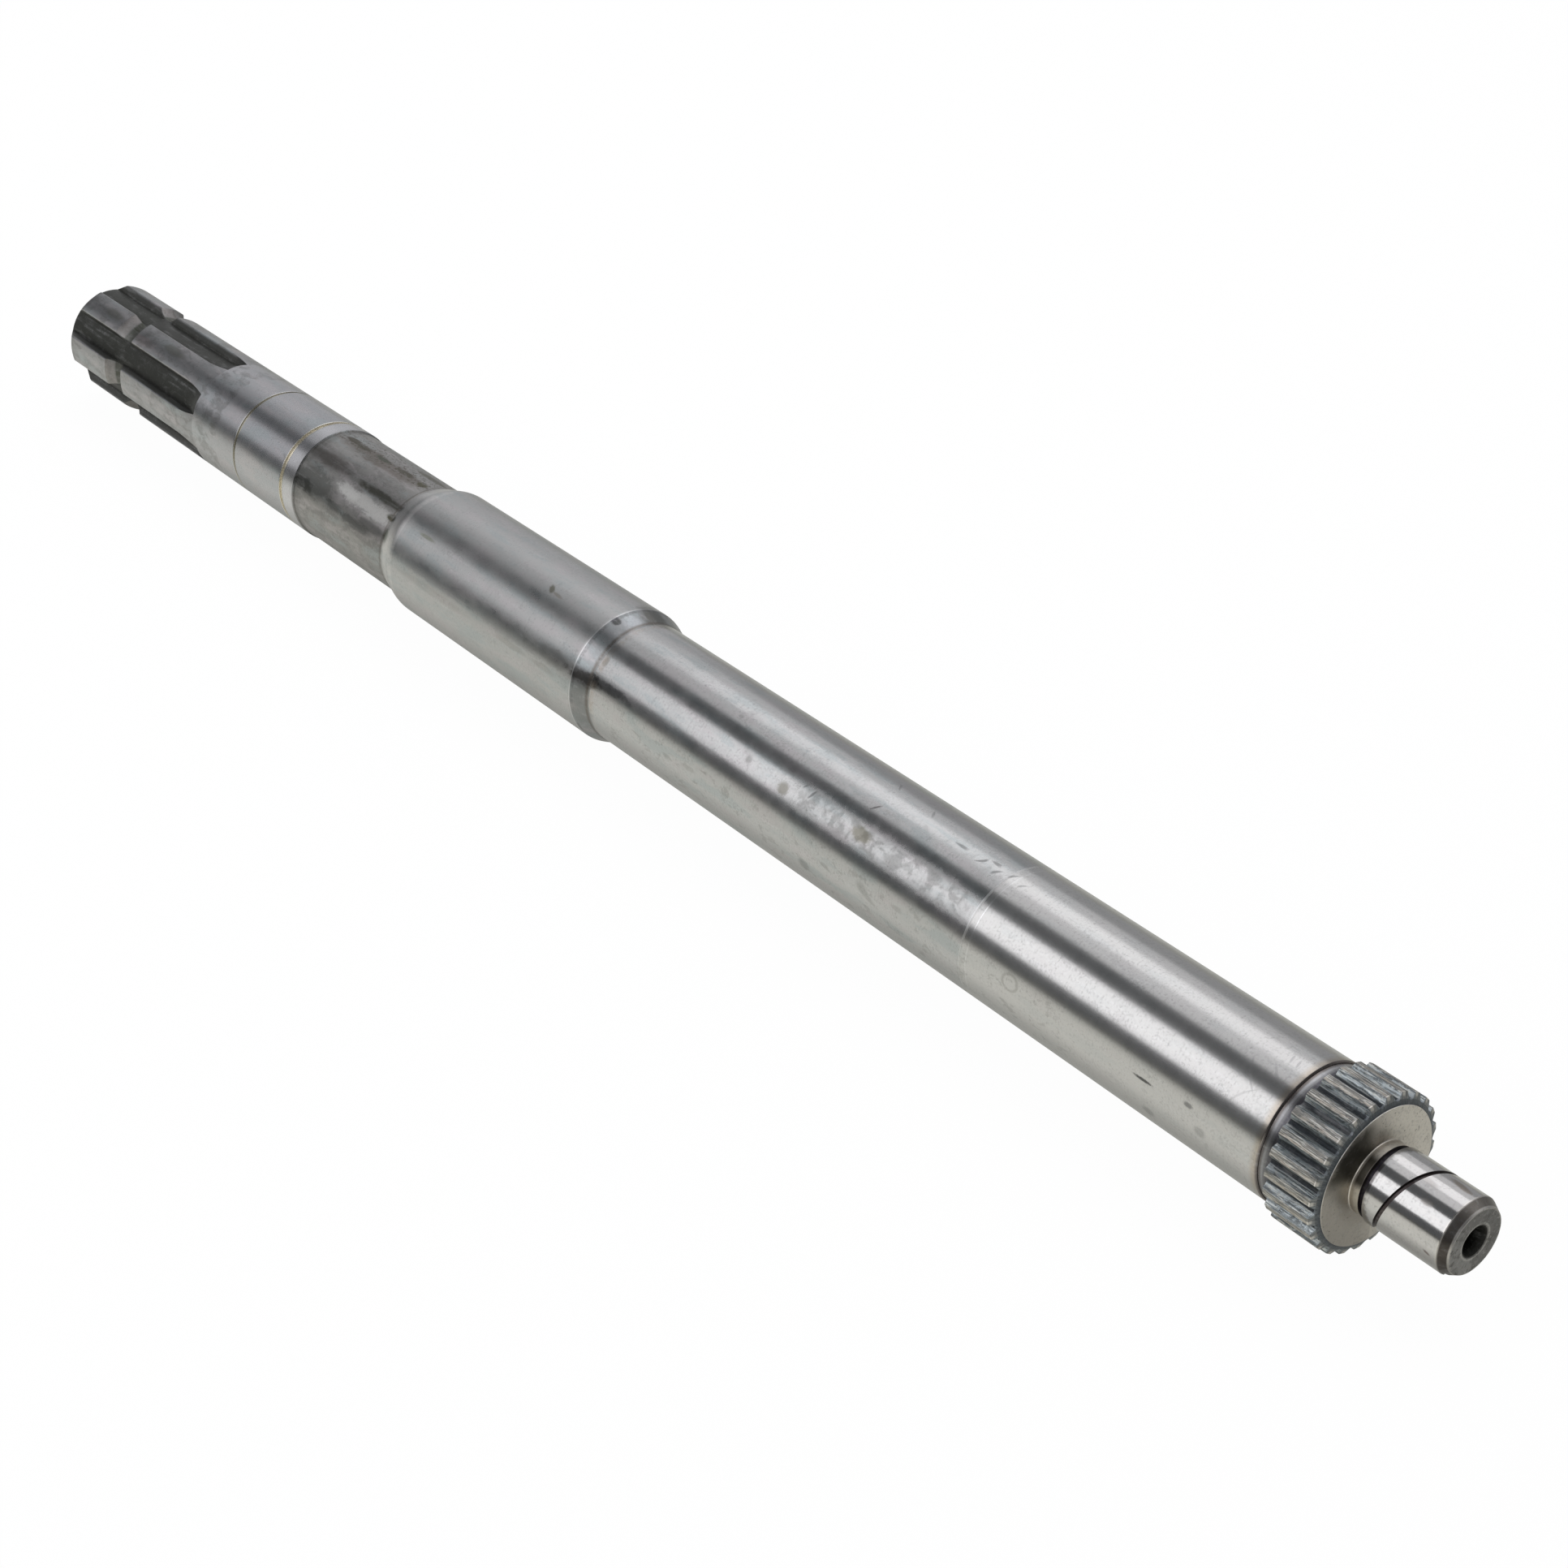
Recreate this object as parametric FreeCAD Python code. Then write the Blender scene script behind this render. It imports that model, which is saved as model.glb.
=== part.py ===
import FreeCAD, Part
import math
import os

# Power take-off shaft, turned from one steel bar and splined at both ends.
# It lies along +X, from the six-spline end to the spigot, with +Z up.
# The origin is on its axis, halfway along it. All sizes are in millimetres.

# Six-spline end, which the implement's coupling slides over
SPLINE_DIA = 34.9
SPLINE_ROOT_DIA = 29.6
SPLINE_COUNT = 6
SPLINE_WIDTH = 8.64
SPLINE_FULL_LENGTH = 77.0
SPLINE_TURN = -1.0
CUTTER_RADIUS = 24.0
END_FACE_DIA = 29.2
END_CHAMFER_LENGTH = 5.0
END_ROUND = 1.2

# Locking groove round the splines, with a round bottom
LOCK_GROOVE_STATION = 34.5
LOCK_GROOVE_RADIUS = 6.8
LOCK_GROOVE_DIA = 29.4

# Plain seat between the splines and the neck, with two narrow ring grooves
FIRST_RING_STATION = 113.8
FIRST_RING_WIDTH = 1.3
FIRST_RING_DEPTH = 0.5
SECOND_RING_STATION = 141.8
SECOND_RING_WIDTH = 1.8
SECOND_RING_DEPTH = 0.8
SEAT_LENGTH = 149.8
SEAT_EDGE = 0.35

# Neck and the thickest section, with a conical shoulder at each end
NECK_DIA = 34.04
NECK_LENGTH = 49.4
FRONT_SHOULDER_LENGTH = 6.8
FRONT_SHOULDER_FOOT_ROUND = 2.0
FRONT_SHOULDER_CREST_ROUND = 9.0
LARGE_DIA = 37.86
LARGE_LENGTH = 89.8
REAR_SHOULDER_LENGTH = 5.5
REAR_SHOULDER_CREST_ROUND = 4.0
REAR_SHOULDER_FOOT_ROUND = 2.5

# Long body
BODY_DIA = 34.08
BODY_LENGTH = 237.2
BODY_EDGE = 0.35

# Toothed spline and the run-out groove beside it
RUNOUT_DIA = 33.1
RUNOUT_WIDTH = 3.3
TOOTH_COUNT = 24
TOOTH_TIP_DIA = 37.8
TOOTH_ROOT_DIA = 34.5
TOOTH_LENGTH = 13.55
TOOTH_TIP_WIDTH = 1.75
TOOTH_SPACE_WIDTH = 1.35
TOOTH_SPACE_SAG = 0.25
TOOTH_TURN = 9.3
TOOTH_REAR_BEVEL = 0.3
TOOTH_FRONT_BEVEL = 0.9
FACE_DIA = 32.9
FACE_STEP = 0.25

# Spigot, which runs in the gearbox's front bearing
RELIEF_DIA = 17.0
RELIEF_LENGTH = 2.5
RELIEF_ROUND = 0.35
UNDERCUT_DIA = 15.2
UNDERCUT_WIDTH = 1.3
JOURNAL_DIA = 17.96
JOURNAL_LENGTH = 19.2
JOURNAL_EDGE = 0.15
SPIGOT_FACE_DIA = 15.28
SPIGOT_CHAMFER_LENGTH = 2.3

# Helical oil groove round the journal, left-hand
OIL_GROOVE_PITCH = 18.0
OIL_GROOVE_WIDTH = 1.15
OIL_GROOVE_FLOOR_WIDTH = 0.7
OIL_GROOVE_DEPTH = 0.5
OIL_GROOVE_TURN = 178.0

# Lathe centre drilled in each end face
CENTRE_MOUTH_DIA = 8.0
CENTRE_CONE_DIA = 6.9
CENTRE_PILOT_DIA = 3.15
CENTRE_CONE_ANGLE = 60.0
CENTRE_GUARD_ANGLE = 120.0
CENTRE_PILOT_DEPTH = 9.0

# Cutters reach this far past the metal that they cut
OVERCUT = 2.0

AXIS = FreeCAD.Vector(1, 0, 0)
ORIGIN = FreeCAD.Vector(0, 0, 0)

# Stations along the shaft, measured from the six-spline end face
NECK_END = SEAT_LENGTH + NECK_LENGTH
LARGE_START = NECK_END + FRONT_SHOULDER_LENGTH
LARGE_END = LARGE_START + LARGE_LENGTH
BODY_START = LARGE_END + REAR_SHOULDER_LENGTH
BODY_END = BODY_START + BODY_LENGTH
TEETH_START = BODY_END + RUNOUT_WIDTH
TEETH_END = TEETH_START + TOOTH_LENGTH
FACE_STATION = TEETH_END + FACE_STEP
UNDERCUT_START = FACE_STATION + RELIEF_LENGTH
JOURNAL_START = UNDERCUT_START + UNDERCUT_WIDTH
JOURNAL_END = JOURNAL_START + JOURNAL_LENGTH
TOTAL_LENGTH = JOURNAL_END + SPIGOT_CHAMFER_LENGTH


def point(station, radius):
    return FreeCAD.Vector(station, 0, radius)


def tangent_arc(before, corner, after, radius):
    """Arc that rounds one corner of the turned outline."""
    inward = (before - corner).normalize()
    onward = (after - corner).normalize()
    half_angle = inward.getAngle(onward) / 2
    reach = radius / math.tan(half_angle)
    middle = (inward + onward).normalize()
    centre = corner + middle * (radius / math.sin(half_angle))
    start = corner + inward * reach
    end = corner + onward * reach
    top = centre - middle * radius
    return Part.Arc(start, top, end).toShape(), start, end


def turned_outline(corners):
    """Closed half section, from corners given as station, radius and rounding."""
    places = [point(station, radius) for station, radius, rounding in corners]
    edges = []
    last = places[0]
    for index in range(1, len(corners) - 1):
        rounding = corners[index][2]
        if rounding > 0:
            arc, start, end = tangent_arc(places[index - 1], places[index], places[index + 1], rounding)
            edges.append(Part.makeLine(last, start))
            edges.append(arc)
            last = end
        else:
            edges.append(Part.makeLine(last, places[index]))
            last = places[index]
    edges.append(Part.makeLine(last, places[-1]))
    edges.append(Part.makeLine(places[-1], places[0]))
    return Part.Wire(edges)


def ring_groove(station, width, outer_radius, depth):
    """Corners of a square groove cut into a plain section."""
    floor = outer_radius - depth
    return [
        (station, outer_radius, 0),
        (station, floor, 0),
        (station + width, floor, 0),
        (station + width, outer_radius, 0),
    ]


def blank_corners():
    spline_radius = SPLINE_DIA / 2
    neck_radius = NECK_DIA / 2
    large_radius = LARGE_DIA / 2
    body_radius = BODY_DIA / 2
    runout_radius = RUNOUT_DIA / 2
    tip_radius = TOOTH_TIP_DIA / 2
    face_radius = FACE_DIA / 2
    relief_radius = RELIEF_DIA / 2
    journal_radius = JOURNAL_DIA / 2
    corners = [
        (0, 0, 0),
        (0, END_FACE_DIA / 2, END_ROUND),
        (END_CHAMFER_LENGTH, spline_radius, END_ROUND),
    ]
    corners += ring_groove(FIRST_RING_STATION, FIRST_RING_WIDTH, spline_radius, FIRST_RING_DEPTH)
    corners += ring_groove(SECOND_RING_STATION, SECOND_RING_WIDTH, spline_radius, SECOND_RING_DEPTH)
    corners += [
        (SEAT_LENGTH - SEAT_EDGE, spline_radius, 0),
        (SEAT_LENGTH, neck_radius, 0),
        (NECK_END, neck_radius, FRONT_SHOULDER_FOOT_ROUND),
        (LARGE_START, large_radius, FRONT_SHOULDER_CREST_ROUND),
        (LARGE_END, large_radius, REAR_SHOULDER_CREST_ROUND),
        (BODY_START, body_radius, REAR_SHOULDER_FOOT_ROUND),
        (BODY_END - BODY_EDGE, body_radius, 0),
        (BODY_END, body_radius - BODY_EDGE, 0),
        (BODY_END, runout_radius, 0),
        (TEETH_START, runout_radius, 0),
        (TEETH_START + TOOTH_REAR_BEVEL, tip_radius, 0),
        (TEETH_END - TOOTH_FRONT_BEVEL, tip_radius, 0),
        (TEETH_END, face_radius, 0),
        (FACE_STATION, face_radius, 0),
        (FACE_STATION, relief_radius, RELIEF_ROUND),
        (UNDERCUT_START, relief_radius, 0),
        (UNDERCUT_START, UNDERCUT_DIA / 2, 0),
        (JOURNAL_START, UNDERCUT_DIA / 2, 0),
        (JOURNAL_START, journal_radius - JOURNAL_EDGE, 0),
        (JOURNAL_START + JOURNAL_EDGE, journal_radius, 0),
        (JOURNAL_END, journal_radius, 0),
        (TOTAL_LENGTH, SPIGOT_FACE_DIA / 2, 0),
        (TOTAL_LENGTH, 0, 0),
    ]
    return corners


def turned_blank():
    outline = turned_outline(blank_corners())
    return Part.Face(outline).revolve(ORIGIN, AXIS, 360)


def copies_round(cutter, count, first_angle):
    """Equal copies of a cutter round the shaft, as one compound."""
    placed = []
    for index in range(count):
        copy = cutter.copy()
        copy.rotate(ORIGIN, AXIS, first_angle + index * 360.0 / count)
        placed.append(copy)
    return Part.makeCompound(placed)


def spline_gap_section(station):
    """Section of one gap between two splines, at the top of the shaft."""
    root_radius = SPLINE_ROOT_DIA / 2
    half_width = SPLINE_WIDTH / 2
    outer_radius = SPLINE_DIA / 2 + OVERCUT
    half_pitch = math.pi / SPLINE_COUNT
    root_angle = half_pitch - math.asin(half_width / root_radius)
    outer_angle = half_pitch - math.asin(half_width / outer_radius)
    root_y = root_radius * math.sin(root_angle)
    root_z = root_radius * math.cos(root_angle)
    outer_y = outer_radius * math.sin(outer_angle)
    outer_z = outer_radius * math.cos(outer_angle)
    left_root = FreeCAD.Vector(station, -root_y, root_z)
    right_root = FreeCAD.Vector(station, root_y, root_z)
    right_outer = FreeCAD.Vector(station, outer_y, outer_z)
    left_outer = FreeCAD.Vector(station, -outer_y, outer_z)
    floor = Part.Arc(left_root, FreeCAD.Vector(station, 0, root_radius), right_root).toShape()
    sides = Part.makePolygon([right_root, right_outer, left_outer, left_root])
    return Part.Face(Part.Wire([floor] + sides.Edges))


def spline_gap_cutter():
    """Straight cut along one gap, then the curved lift of the milling cutter."""
    straight = spline_gap_section(-OVERCUT).extrude(FreeCAD.Vector(SPLINE_FULL_LENGTH + OVERCUT, 0, 0))
    cutter_axis = FreeCAD.Vector(SPLINE_FULL_LENGTH, 0, SPLINE_ROOT_DIA / 2 + CUTTER_RADIUS)
    lift_angle = math.degrees(math.acos(1 - (SPLINE_DIA - SPLINE_ROOT_DIA) / 2 / CUTTER_RADIUS)) * 1.3
    lift = spline_gap_section(SPLINE_FULL_LENGTH).revolve(cutter_axis, FreeCAD.Vector(0, -1, 0), lift_angle)
    return straight.fuse(lift)


def cut_splines(shaft):
    gaps = copies_round(spline_gap_cutter(), SPLINE_COUNT, SPLINE_TURN)
    return shaft.cut(gaps)


def cut_lock_groove(shaft):
    ring_centre_radius = LOCK_GROOVE_DIA / 2 + LOCK_GROOVE_RADIUS
    ring = Part.makeTorus(ring_centre_radius, LOCK_GROOVE_RADIUS, ORIGIN, AXIS)
    ring.translate(FreeCAD.Vector(LOCK_GROOVE_STATION, 0, 0))
    return shaft.cut(ring)


def tooth_space_section(station):
    """Section of one space between two teeth, with a round root and straight sides."""
    tip_radius = TOOTH_TIP_DIA / 2
    root_radius = TOOTH_ROOT_DIA / 2
    side_foot = root_radius + TOOTH_SPACE_SAG
    half_mouth = (2 * math.pi * tip_radius / TOOTH_COUNT - TOOTH_TIP_WIDTH) / 2
    half_root = TOOTH_SPACE_WIDTH / 2
    slope = (half_mouth - half_root) / (tip_radius - side_foot)
    outer_radius = tip_radius + OVERCUT
    half_outer = half_mouth + slope * OVERCUT
    left_foot = FreeCAD.Vector(station, -half_root, side_foot)
    right_foot = FreeCAD.Vector(station, half_root, side_foot)
    right_outer = FreeCAD.Vector(station, half_outer, outer_radius)
    left_outer = FreeCAD.Vector(station, -half_outer, outer_radius)
    root = Part.Arc(left_foot, FreeCAD.Vector(station, 0, root_radius), right_foot).toShape()
    sides = Part.makePolygon([right_foot, right_outer, left_outer, left_foot])
    return Part.Face(Part.Wire([root] + sides.Edges))


def tooth_space_cutter():
    start = BODY_END + RUNOUT_WIDTH / 2
    length = FACE_STATION + OVERCUT - start
    return tooth_space_section(start).extrude(FreeCAD.Vector(length, 0, 0))


def cut_teeth(shaft):
    half_pitch = 180.0 / TOOTH_COUNT
    spaces = copies_round(tooth_space_cutter(), TOOTH_COUNT, TOOTH_TURN + half_pitch)
    return shaft.cut(spaces)


def oil_groove_section(path_radius):
    """Tapered section of the oil groove, across the start of its path."""
    half_floor = OIL_GROOVE_FLOOR_WIDTH / 2
    half_mouth = OIL_GROOVE_WIDTH / 2
    floor_radius = JOURNAL_DIA / 2 - OIL_GROOVE_DEPTH
    outer_radius = JOURNAL_DIA / 2 + OIL_GROOVE_DEPTH
    half_outer = 2 * half_mouth - half_floor
    outline = Part.makePolygon([
        FreeCAD.Vector(floor_radius, 0, -half_floor),
        FreeCAD.Vector(floor_radius, 0, half_floor),
        FreeCAD.Vector(outer_radius, 0, half_outer),
        FreeCAD.Vector(outer_radius, 0, -half_outer),
        FreeCAD.Vector(floor_radius, 0, -half_floor),
    ])
    lead_angle = math.degrees(math.atan(OIL_GROOVE_PITCH / (2 * math.pi * path_radius)))
    outline.rotate(FreeCAD.Vector(path_radius, 0, 0), FreeCAD.Vector(1, 0, 0), -lead_angle)
    return outline


def oil_groove_cutter():
    """Groove swept along a left-hand helix, from inside the undercut to past the end face."""
    path_radius = JOURNAL_DIA / 2
    lead_in = UNDERCUT_WIDTH / 2
    lead_turn = 360 * lead_in / OIL_GROOVE_PITCH
    start = JOURNAL_START - lead_in
    height = TOTAL_LENGTH + OIL_GROOVE_WIDTH - start
    helix = Part.makeHelix(OIL_GROOVE_PITCH, height, path_radius, 0, True)
    section = oil_groove_section(path_radius)
    groove = Part.Wire(helix.Edges).makePipeShell([section], True, True)
    groove.rotate(ORIGIN, FreeCAD.Vector(0, 1, 0), 90)
    groove.rotate(ORIGIN, AXIS, OIL_GROOVE_TURN + lead_turn - 180)
    groove.translate(FreeCAD.Vector(start, 0, 0))
    return groove


def centre_drill():
    """Guard bevel, cone and pilot of a lathe centre, cut from station 0 towards +X."""
    mouth_radius = CENTRE_MOUTH_DIA / 2
    cone_radius = CENTRE_CONE_DIA / 2
    pilot_radius = CENTRE_PILOT_DIA / 2
    guard_depth = (mouth_radius - cone_radius) / math.tan(math.radians(CENTRE_GUARD_ANGLE / 2))
    cone_depth = (cone_radius - pilot_radius) / math.tan(math.radians(CENTRE_CONE_ANGLE / 2))
    tip_depth = pilot_radius / math.tan(math.radians(CENTRE_GUARD_ANGLE / 2))
    outline = Part.makePolygon([
        point(-OVERCUT, 0),
        point(-OVERCUT, mouth_radius),
        point(0, mouth_radius),
        point(guard_depth, cone_radius),
        point(guard_depth + cone_depth, pilot_radius),
        point(CENTRE_PILOT_DEPTH, pilot_radius),
        point(CENTRE_PILOT_DEPTH + tip_depth, 0),
        point(-OVERCUT, 0),
    ])
    return Part.Face(outline).revolve(ORIGIN, AXIS, 360)


def cut_centres(shaft):
    first = centre_drill()
    second = centre_drill()
    second.rotate(ORIGIN, FreeCAD.Vector(0, 0, 1), 180)
    second.translate(FreeCAD.Vector(TOTAL_LENGTH, 0, 0))
    return shaft.cut(first).cut(second)


def pto_shaft():
    shaft = turned_blank()
    shaft = cut_splines(shaft)
    shaft = cut_lock_groove(shaft)
    shaft = cut_teeth(shaft)
    shaft = shaft.cut(oil_groove_cutter())
    shaft = cut_centres(shaft)
    shaft.translate(FreeCAD.Vector(-TOTAL_LENGTH / 2, 0, 0))
    return shaft


def export(shape, node):
    solid = shape.Solids[0]
    print(node, "solids", len(shape.Solids), "valid", solid.isValid(), "faces", len(solid.Faces))
    box = solid.optimalBoundingBox()
    print("length", round(box.XLength, 2), "volume", round(solid.Volume / 1000, 1), "cm3")
    solid.exportStep("parts/" + node + ".step")


os.makedirs("parts", exist_ok=True)
export(pto_shaft(), "pto_shaft")
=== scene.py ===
import math

import bpy
import bmesh
from mathutils import Matrix, Vector


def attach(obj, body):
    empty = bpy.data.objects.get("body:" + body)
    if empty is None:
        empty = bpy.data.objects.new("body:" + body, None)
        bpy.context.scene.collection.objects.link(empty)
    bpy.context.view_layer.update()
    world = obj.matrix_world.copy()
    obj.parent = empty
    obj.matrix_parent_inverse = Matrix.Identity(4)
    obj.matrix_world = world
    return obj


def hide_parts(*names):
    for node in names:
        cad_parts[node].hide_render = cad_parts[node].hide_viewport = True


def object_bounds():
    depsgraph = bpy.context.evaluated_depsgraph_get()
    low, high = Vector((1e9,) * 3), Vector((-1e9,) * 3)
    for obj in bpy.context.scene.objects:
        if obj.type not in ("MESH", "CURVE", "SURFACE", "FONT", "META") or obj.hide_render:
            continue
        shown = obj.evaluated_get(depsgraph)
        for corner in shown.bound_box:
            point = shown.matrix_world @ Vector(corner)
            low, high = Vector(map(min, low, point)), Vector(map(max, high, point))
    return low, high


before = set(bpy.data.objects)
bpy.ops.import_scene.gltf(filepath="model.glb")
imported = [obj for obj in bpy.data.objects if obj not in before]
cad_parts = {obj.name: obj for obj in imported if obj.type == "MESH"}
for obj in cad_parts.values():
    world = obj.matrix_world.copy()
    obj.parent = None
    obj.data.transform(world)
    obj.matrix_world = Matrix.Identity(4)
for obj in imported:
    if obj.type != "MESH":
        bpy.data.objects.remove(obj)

for spare in ("Cube", "Light", "Camera"):
    if spare in bpy.data.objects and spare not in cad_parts:
        bpy.data.objects.remove(bpy.data.objects[spare])
cadLow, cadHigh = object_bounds()

perMetre = 1000       # all shaft sizes below are in mm
halfLength = 290.45   # stations are in mm from the six-spline end face, x = 0 is the middle
roundSteps = 192      # sides of every turned surface
nearby = 1e-6         # points closer than this, in metres, are at the same height
sheetSide = 0.002     # side of a fresh sheet, in metres, before it is shaped
print("frame loaded, shaft length", round((cadHigh.x - cadLow.x) * perMetre, 1), "mm")


def place(station, radius=0.0, turn=0.0):
    # turn is in degrees from the top, positive towards the viewer's side
    angle = math.radians(turn)
    return Vector((station - halfLength, -radius * math.sin(angle), radius * math.cos(angle))) / perMetre


def objectMode():
    if bpy.context.object and bpy.context.object.mode != "OBJECT":
        bpy.ops.object.mode_set(mode="OBJECT")


def deselectAll():
    objectMode()
    bpy.ops.object.select_all(action="DESELECT")


def pickObject(piece):
    deselectAll()
    piece.select_set(True)
    bpy.context.view_layer.objects.active = piece


def editNew(name):
    # the primitive just added gets its place into its mesh and opens for editing
    piece = bpy.context.object
    piece.name = name
    piece.data.name = name
    bpy.ops.object.transform_apply(location=True, rotation=True, scale=True)
    bpy.ops.object.mode_set(mode="EDIT")
    bpy.ops.mesh.select_mode(type="VERT")
    bpy.ops.mesh.select_all(action="SELECT")
    return piece


def pickPoints(piece, test):
    bpy.ops.mesh.select_mode(type="VERT")
    bpy.ops.mesh.select_all(action="DESELECT")
    shape = bmesh.from_edit_mesh(piece.data)
    for point in shape.verts:
        if test(point.co):
            point.select_set(True)
    shape.select_flush(True)
    bmesh.update_edit_mesh(piece.data)


def closeUp():
    # doubles merged and normals pointing out, as a finished piece or cutter needs
    bpy.ops.mesh.select_mode(type="VERT")
    bpy.ops.mesh.select_all(action="SELECT")
    bpy.ops.mesh.remove_doubles(threshold=0.000002)
    bpy.ops.mesh.normals_make_consistent(inside=False)
    bpy.ops.object.mode_set(mode="OBJECT")


# turned blank: station, radius, corner rounding
blank = {
    "corners": [
        # centre hole and chamfered end face of the six splines
        (11.98, 0.03, 0), (9.0, 1.575, 0), (5.05, 1.575, 0), (0.32, 3.45, 0), (0.0, 4.0, 0),
        (0.0, 14.6, 1.2), (5.0, 17.45, 1.2),
        "lockGroove",
        (89.2, 17.45, 0),
        # two ring grooves in the seal seat
        (113.7, 17.45, 0), (113.85, 17.3, 0), (113.95, 16.95, 0),
        (114.95, 16.95, 0), (115.05, 17.3, 0), (115.2, 17.45, 0),
        (141.7, 17.45, 0), (141.85, 17.3, 0), (141.95, 16.65, 0),
        (143.45, 16.65, 0), (143.55, 17.3, 0), (143.7, 17.45, 0),
        # neck, large section and body
        (149.45, 17.45, 0), (149.8, 17.02, 0),
        (199.2, 17.02, 2.0), (206.0, 18.93, 9.0), (295.8, 18.93, 4.0), (301.3, 17.04, 2.5),
        # run-out groove, teeth and turned face
        (538.15, 17.04, 0), (538.5, 16.69, 0), (538.5, 16.55, 0.0),
        (541.8, 16.55, 0), (542.1, 18.9, 0), (554.45, 18.9, 0), (555.35, 16.45, 0),
        (555.6, 16.35, 0), (555.6, 8.5, 0.35),
        # relief, undercut, journal and end bevel
        (558.1, 8.5, 0), (558.1, 7.6, 0), (559.4, 7.6, 0), (559.4, 8.83, 0), (559.55, 8.98, 0),
        (578.5, 8.98, 0), (578.7, 8.9, 0), (580.8, 7.7, 0), (580.9, 7.64, 0),
        # centre hole of the journal
        (580.9, 4.0, 0), (580.58, 3.45, 0), (575.85, 1.575, 0), (571.9, 1.575, 0), (568.92, 0.03, 0),
    ],
    "lockGrooveStation": 34.5,
    "lockGrooveRadius": 6.8,
    "lockGrooveFloor": 14.7,
    "lockGrooveRim": 17.45,
    "lockGrooveSteps": 18,
    "support": 0.5,       # extra rings this far from each corner keep the long surfaces evenly shaded
    "roundingStep": 5,    # degrees
}


def arcPoints(before, corner, after, rounding):
    corner = Vector(corner)
    inward = (Vector(before) - corner).normalized()
    onward = (Vector(after) - corner).normalized()
    half = inward.angle(onward) / 2
    reach = rounding / math.tan(half)
    middle = (inward + onward).normalized()
    centre = corner + middle * (rounding / math.sin(half))
    start = corner + inward * reach - centre
    end = corner + onward * reach - centre
    sweep = start.angle(end)
    steps = max(4, int(math.degrees(sweep) / blank["roundingStep"]))
    side = 1 if start.x * end.y - start.y * end.x > 0 else -1
    points = []
    for index in range(steps + 1):
        turn = side * sweep * index / steps
        points.append((centre.x + start.x * math.cos(turn) - start.y * math.sin(turn),
                       centre.y + start.x * math.sin(turn) + start.y * math.cos(turn)))
    return points


def lockGroovePoints():
    radius = blank["lockGrooveRadius"]
    steps = blank["lockGrooveSteps"]
    centre = (blank["lockGrooveStation"], blank["lockGrooveFloor"] + radius)
    half = math.acos((centre[1] - blank["lockGrooveRim"]) / radius)
    points = []
    for index in range(steps + 1):
        turn = -half + 2 * half * index / steps
        points.append((centre[0] + radius * math.sin(turn), centre[1] - radius * math.cos(turn)))
    return points


def turnedRings():
    corners = []
    for corner in blank["corners"]:
        if corner == "lockGroove":
            corners += [(station, radius, 0) for station, radius in lockGroovePoints()]
        else:
            corners.append(corner)
    rings = []
    for index, (station, radius, rounding) in enumerate(corners):
        if rounding:
            before, after = corners[index - 1][:2], corners[index + 1][:2]
            rings += arcPoints(before, (station, radius), after, rounding)
        else:
            rings.append((station, radius))
    full = [rings[0]]
    for before, after in zip(rings, rings[1:]):
        step = Vector(after) - Vector(before)
        if step.length > 3 * blank["support"]:
            near = Vector(before) + step.normalized() * blank["support"]
            far = Vector(after) - step.normalized() * blank["support"]
            full += [tuple(near), tuple(far)]
        full.append(after)
    return full


def turnBlank():
    rings = turnedRings()
    deselectAll()
    bpy.ops.mesh.primitive_circle_add(
        vertices=roundSteps, radius=rings[0][1] / perMetre, location=place(rings[0][0]), rotation=(0, math.pi / 2, 0))
    shaft = editNew("ptoShaft")
    for before, after in zip(rings, rings[1:]):
        length = (after[0] - before[0]) / perMetre
        bpy.ops.mesh.extrude_region_move(TRANSFORM_OT_translate={"value": (length, 0, 0)})
        if abs(after[1] - before[1]) > nearby:
            grow = after[1] / before[1]
            bpy.ops.transform.resize(value=(1, grow, grow), center_override=place(after[0]))
    # the first and the last ring close to the tips of the centre holes
    bpy.ops.mesh.merge(type="CENTER")
    first = place(rings[0][0]).x
    pickPoints(shaft, lambda co: abs(co.x - first) < nearby and math.hypot(co.y, co.z) < 0.0001)
    bpy.ops.mesh.merge(type="CENTER")
    closeUp()
    print("blank turned,", len(rings), "rings")
    return shaft


def sectionSheet(name, station, columns, rows, floorRadius):
    # rows run outwards: half width, height above the axis; the first row is bent to the floor radius
    deselectAll()
    bpy.ops.mesh.primitive_grid_add(
        x_subdivisions=columns, y_subdivisions=len(rows) - 1, size=sheetSide,
        location=place(station), rotation=(math.pi / 2, 0, math.pi / 2))
    sheet = editNew(name)
    middle = place(station)
    clear = 0.05   # rows move this much higher first, so that no two of them meet on the way
    levels = [-sheetSide / 2 + sheetSide * index / (len(rows) - 1) for index in range(len(rows))]
    for level, (half, height) in reversed(list(zip(levels, rows))):
        pickPoints(sheet, lambda co: abs(co.z - level) < nearby)
        bpy.ops.transform.resize(value=(1, half, 1), center_override=middle)
        bpy.ops.transform.translate(value=(0, 0, clear + height / perMetre - level))
    bpy.ops.mesh.select_all(action="SELECT")
    bpy.ops.transform.translate(value=(0, 0, -clear))
    floor = rows[0][1] / perMetre
    points = bmesh.from_edit_mesh(sheet.data).verts
    spots = sorted({round(point.co.y, 7) for point in points if abs(point.co.z - floor) < nearby})
    for spot in spots:
        pickPoints(sheet, lambda co: abs(co.y - spot) < 2 * nearby and abs(co.z - floor) < nearby)
        bpy.ops.transform.translate(value=(0, 0, floorRadius(spot * perMetre) / perMetre - floor))
    bpy.ops.mesh.select_all(action="SELECT")
    return sheet


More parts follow.
